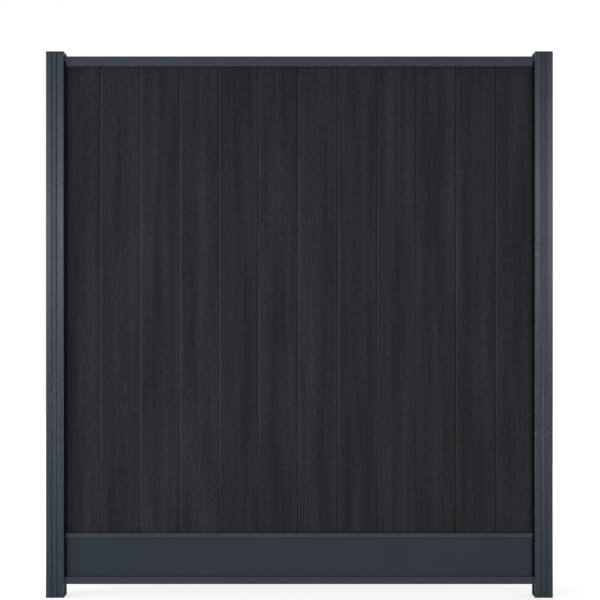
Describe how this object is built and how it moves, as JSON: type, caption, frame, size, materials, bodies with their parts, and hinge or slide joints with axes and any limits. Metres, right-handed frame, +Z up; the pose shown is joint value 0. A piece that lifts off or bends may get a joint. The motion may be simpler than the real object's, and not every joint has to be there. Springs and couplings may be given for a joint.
{
  "type": "composite fence panel",
  "caption": "Privacy fence bay: upright tongue-and-groove composite boards between slotted rails, held in fluted channel posts above a hollow gravel board.",
  "frame": {"origin": "middle of the ground line, on the plane that both posts stand on", "axes": "+X along the panel to the right seen from the front, -Y is the front face, +Z up"},
  "size_m": [1.916, 0.075, 2.065],
  "materials": {
    "post_coating": "satin",
    "rail_coating": "satin",
    "cap_plastic": "satin",
    "board_composite": "matte",
    "seal_rubber": "matte",
    "zinc_steel": "satin"
  },
  "bodies": {
    "root": {"left_post": "post_coating", "left_post_cap": "cap_plastic", "left_foot_cap": "cap_plastic", "left_top_bracket": "zinc_steel", "left_gravel_bracket": "zinc_steel", "left_front_upper_seal": "seal_rubber", "left_front_lower_seal": "seal_rubber", "left_back_upper_seal": "seal_rubber", "left_back_lower_seal": "seal_rubber", "right_post": "post_coating", "right_post_cap": "cap_plastic", "right_foot_cap": "cap_plastic", "right_top_bracket": "zinc_steel", "right_gravel_bracket": "zinc_steel", "right_front_upper_seal": "seal_rubber", "right_front_lower_seal": "seal_rubber", "right_back_upper_seal": "seal_rubber", "right_back_lower_seal": "seal_rubber", "top_rail": "rail_coating", "middle_rail": "rail_coating", "gravel_board": "rail_coating", "board_01": "board_composite", "board_02": "board_composite", "board_03": "board_composite", "board_04": "board_composite", "board_05": "board_composite", "board_06": "board_composite", "board_07": "board_composite", "board_08": "board_composite", "board_09": "board_composite", "board_10": "board_composite", "board_11": "board_composite", "board_12": "board_composite", "bracket_screws": "zinc_steel"}
  },
  "joints": []
}
